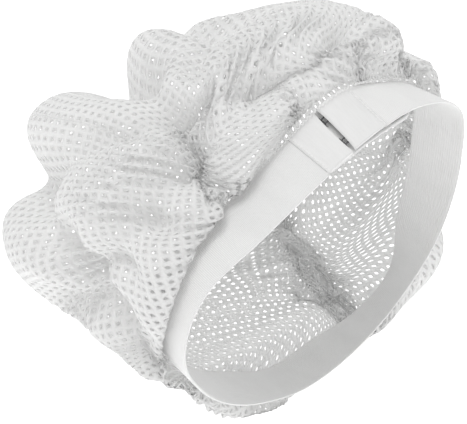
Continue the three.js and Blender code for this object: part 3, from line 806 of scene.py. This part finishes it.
def rolled(distance):
    """Share of a tape's thickness at a distance from its edge, which rolls round."""
    left = np.clip(1 - distance / TAPE_ROLL, 0, 1)
    return np.sqrt(1 - left ** 2)


def bowed(angle, depth, seam, end):
    """The tape's free edge bows, so that the slit narrows towards both edges of the band."""
    near = np.clip((angle - seam) / (end - seam), 0, 1)
    return angle + np.sign(end - seam) * SLIT_BOW * near ** 4 * np.abs(2 * depth / BAND_WIDTH - 1) ** 3


def seam_ridge(angle, seam):
    """The tape bulges along its seam."""
    return SEAM_RIDGE * np.exp(-((angle - seam) * arc / SEAM_HALF) ** 2)


def stitch_row(name, angle):
    """A row of short lockstitches across the band."""
    form = bmesh.new()
    for depth in np.arange(STITCH_FIRST, BAND_WIDTH - MM, STITCH):
        one = bmesh.ops.create_uvsphere(form, u_segments=8, v_segments=6, radius=0.5)["verts"]
        for vert in one:
            x, y, z = vert.co
            vert.co = (x * STITCH_WIDE / arc, z * STITCH * STITCH_LONG, y * STITCH_THICK)
            vert.co.y += depth
    spots = places(form)
    move_to(form, on_hoop(angle + spots[:, 0], spots[:, 1], STITCH_HEIGHT + spots[:, 2]))
    finished(form, name, thread_white)


hook_strip = doubled(flat_grid(*TAB_CUTS, HOOK_TAPE_SEAM - TAPE_LAP, HOOK_TAPE_END, 0, BAND_WIDTH))
spots = places(hook_strip)
angle, depth = spots[:, 0], spots[:, 1]
edge = np.minimum(np.minimum(depth, BAND_WIDTH - depth),
                  np.minimum(angle - HOOK_TAPE_SEAM + TAPE_LAP, HOOK_TAPE_END - angle) * arc)
rise = HOOK_TAB_RISE * ease((angle - HOOK_TAPE_SEAM) / 3)
lap = ease((HOOK_TAPE_SEAM + LAP_EASE - angle) / LAP_EASE)
middle = rise - HOOK_TAB_SINK + (LAP_LEVEL + HOOK_TAB_SINK) * lap
half = (HOOK_TAB_HALF + (LAP_HALF - HOOK_TAB_HALF) * lap) * rolled(edge)
height = middle + np.where(spots[:, 2] > 0.5, half + seam_ridge(angle, HOOK_TAPE_SEAM), -half)
angle = bowed(angle, depth, HOOK_TAPE_SEAM, HOOK_TAPE_END)
move_to(hook_strip, on_hoop(angle, depth, height), spots * (arc / MM, 1 / MM, 1))
hook_flap = finished(hook_strip, "hook_flap", satin)
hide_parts("hook_tape")
stitch_row("hook_seam", HOOK_TAPE_SEAM)

flap_strip = doubled(flat_grid(*TAB_CUTS, EYE_TAPE_END, EYE_TAPE_SEAM + TAPE_LAP, 0, BAND_WIDTH))
spots = places(flap_strip)
angle, depth = spots[:, 0], spots[:, 1]
edge = np.minimum(np.minimum(depth, BAND_WIDTH - depth),
                  np.minimum(angle - EYE_TAPE_END, EYE_TAPE_SEAM + TAPE_LAP - angle) * arc)
to_slit = (EYE_TAPE_SEAM - angle) / (EYE_TAPE_SEAM - EYE_TAPE_END)
low = (EYE_TAB_UNDER - EYE_TAB_DROP * ease(to_slit)) * MM
lap = ease((angle - EYE_TAPE_SEAM + LAP_EASE) / LAP_EASE)
middle = (low + EYE_TAB_TOP) / 2 * (1 - lap) + LAP_LEVEL * lap
half = ((EYE_TAB_TOP - low) / 2 * (1 - lap) + LAP_HALF * lap) * rolled(edge)
height = middle + np.where(spots[:, 2] > 0.5, half + seam_ridge(angle, EYE_TAPE_SEAM), -half)
angle = bowed(angle, depth, EYE_TAPE_SEAM, EYE_TAPE_END)
move_to(flap_strip, on_hoop(angle, depth, height), spots * (arc / MM, 1 / MM, 1))
eye_flap = finished(flap_strip, "eye_flap", satin)
stitch_row("eye_seam", EYE_TAPE_SEAM)

spare_strip = doubled(flat_grid(*SPARE_CUTS, UNDERLAP_END, EYE_TAPE_END + 1, 0, 1))
spots = places(spare_strip)
angle, across = spots[:, 0], spots[:, 1]
spare = np.clip((EYE_TAPE_END - angle) / (EYE_TAPE_END - UNDERLAP_END), 0, 1)
skew = UNDERLAP_SKEW * spare ** 2
round_end = 1 - np.clip((angle - UNDERLAP_END) / SPARE_CORNER_RUN, 0, 1)
corner = SPARE_CORNER * (1 - np.sqrt(1 - round_end ** 2))
depth = corner - skew + across * (BAND_WIDTH - 2 * corner)
edge = np.minimum(np.minimum(across, 1 - across) * (BAND_WIDTH - 2 * corner),
                  (angle - UNDERLAP_END) * arc)
bound = ease((edge - BINDING_FROM) / (0.3 * MM)) - ease((edge - BINDING_TO) / (0.4 * MM))
middle = (SPARE_LEVEL + SPARE_LIFT * ease((80 - angle) / 8)) * MM
half = SPARE_HALF * rolled(edge) + BINDING * bound
height = middle + np.where(spots[:, 2] > 0.5, half, -half)
move_to(spare_strip, on_hoop(angle, depth, height), np.stack([angle * arc, depth, half], -1) / MM)
spare_layer = finished(spare_strip, "eye_tape_spare", satin)
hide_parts("eye_tape")
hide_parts("eye_tape")

# ---- Hooks and eyes ----
# Two flattened hooks of bent nickel wire, 15 mm apart, are caught in two wire
# loops in the slit between the tabs.
HOOK_PLACES = (7.6 * MM, 22.6 * MM)
HOOK_WIRE = 0.8 * MM
EYE_WIRE = 0.6 * MM
HOOK_BEND = [
    # along the slit's crossing, half width, height over the band, in mm
    (-8, 1.7, -1.45), (-4, 1.6, -1.45), (0, 1.5, -1.45), (1.2, 1.4, -1.5),
    (1.75, 1.2, -2.3), (1.1, 0.9, -3.15), (0.1, 0.45, -3.2),
]
EYE_BEND = [
    # along the slit's crossing, place across the band, height over it, in mm
    (1.85, -3.4, -2.3), (1.1, -3.3, -2.3), (0.75, -2.5, -2.3), (0.7, 0, -2.3),
    (0.75, 2.5, -2.3), (1.1, 3.3, -2.3), (1.85, 3.4, -2.3),
]

# The wire: dull dark nickel plate with fine drawing scratches.
nickel = plain_finish("dull nickel wire", (0.10, 0.10, 0.105), 0.35)
nickel.node_tree.nodes["Principled BSDF"].inputs["Metallic"].default_value = 1.0
scratches = nickel.node_tree.nodes.new("ShaderNodeTexNoise")
scratches.inputs["Scale"].default_value = 1.0
scratches.inputs["Detail"].default_value = 6
weave_in(nickel, scratches, (4000, 900, 4000), ((0.07, 0.07, 0.075), (0.16, 0.16, 0.165)), (0.3, 0.5),
         0.02 * MM, follows="space")


def wire_piece(name, node, place, bends, width):
    """A bent wire in the slit at its place across the band, which stands for a hook or an eye."""
    path = np.array(bends, float) * MM
    spots = on_hoop(HOOK_TAPE_END + path[:, 0] / arc, place + path[:, 1], path[:, 2])
    piece = finished(thread_piece(name, spots, width), name, nickel)
    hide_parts(node)


for number, place in enumerate(HOOK_PLACES, start=1):
    one_leg = [(along, -wide, high) for along, wide, high in HOOK_BEND]
    hook_loop = one_leg + HOOK_BEND[::-1]
    wire_piece(f"hook_wire_{number}", f"hook_{number}", place, hook_loop, HOOK_WIRE)
    wire_piece(f"eye_wire_{number}", f"eye_{number}", place, EYE_BEND, EYE_WIRE)
